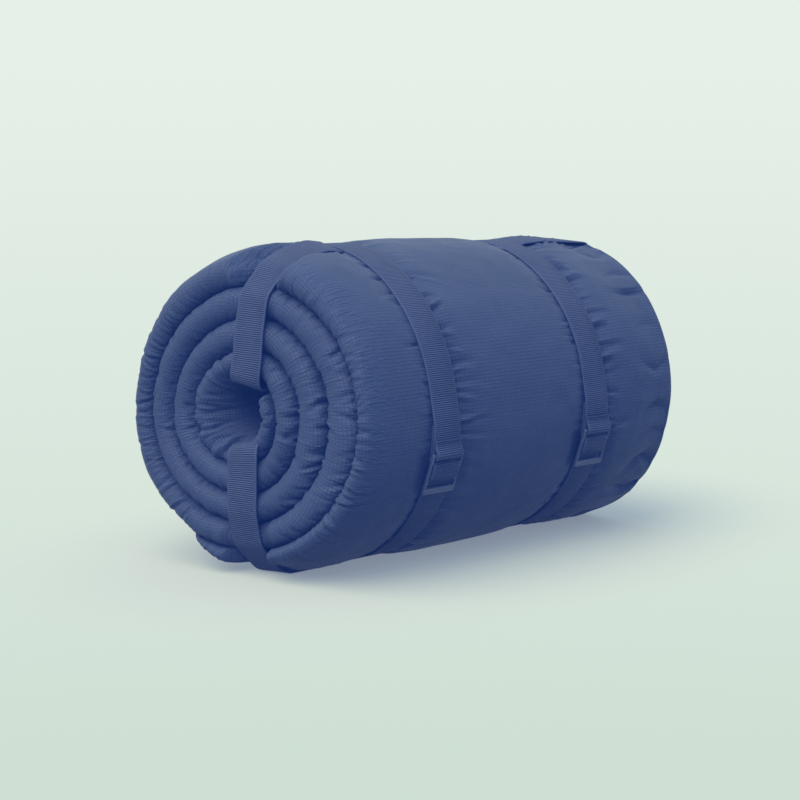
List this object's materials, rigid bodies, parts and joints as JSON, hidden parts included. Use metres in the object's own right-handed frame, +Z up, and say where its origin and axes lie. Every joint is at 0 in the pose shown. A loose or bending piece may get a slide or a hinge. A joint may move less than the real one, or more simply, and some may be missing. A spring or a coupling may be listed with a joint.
{
  "type": "sleeping bag",
  "caption": "Rectangular quilted sleeping bag, folded lengthwise and rolled, held by webbing straps with three-bar buckles and bands through its core.",
  "frame": {"origin": "on the floor under the middle of the whole object's box", "axes": "+X along the roll from its folded front end to its open rear end, -Y the side with the buckles, +Z up"},
  "size_m": [0.3697, 0.2248, 0.2282],
  "materials": {
    "cloth": "ripstop weave, slight sheen",
    "filling": "soft white fibre",
    "lining": "matt plain weave",
    "webbing": "ribbed weave",
    "buckle": "moulded, satin",
    "tape": "matt woven tape",
    "zip": "moulded, satin"
  },
  "bodies": {
    "roll": {"bottom_shell": "cloth", "bottom_filling": "filling", "lining": "lining", "top_filling": "filling", "top_shell": "cloth", "strap_front": "webbing", "strap_rear": "webbing", "core_strap_upper": "webbing", "core_strap_lower": "webbing", "zip_tape_bottom": "tape", "zip_tape_top": "tape", "zip_chain": "zip", "zip_slider": "zip"},
    "buckle_front": {"buckle_front": "buckle"},
    "buckle_rear": {"buckle_rear": "buckle"},
    "zip_puller": {"zip_puller": "zip"}
  },
  "joints": [
    {"name": "buckle_front_tilt", "type": "hinge", "parent": "roll", "child": "buckle_front", "pos_m": [-0.0755, -0.10896, 0.08753], "axis": [-1, 0, 0], "range_deg": [0, 45], "deforming": ["strap_front"]},
    {"name": "buckle_rear_tilt", "type": "hinge", "parent": "roll", "child": "buckle_rear", "pos_m": [0.0832, -0.10711, 0.08821], "axis": [-1, 0, 0], "range_deg": [0, 45], "deforming": ["strap_rear"]},
    {"name": "zip_puller_swing", "type": "hinge", "parent": "roll", "child": "zip_puller", "pos_m": [0.1833, -0.07579, 0.05909], "axis": [0, -0.8304, -0.5572], "range_deg": [0, 165]}
  ]
}
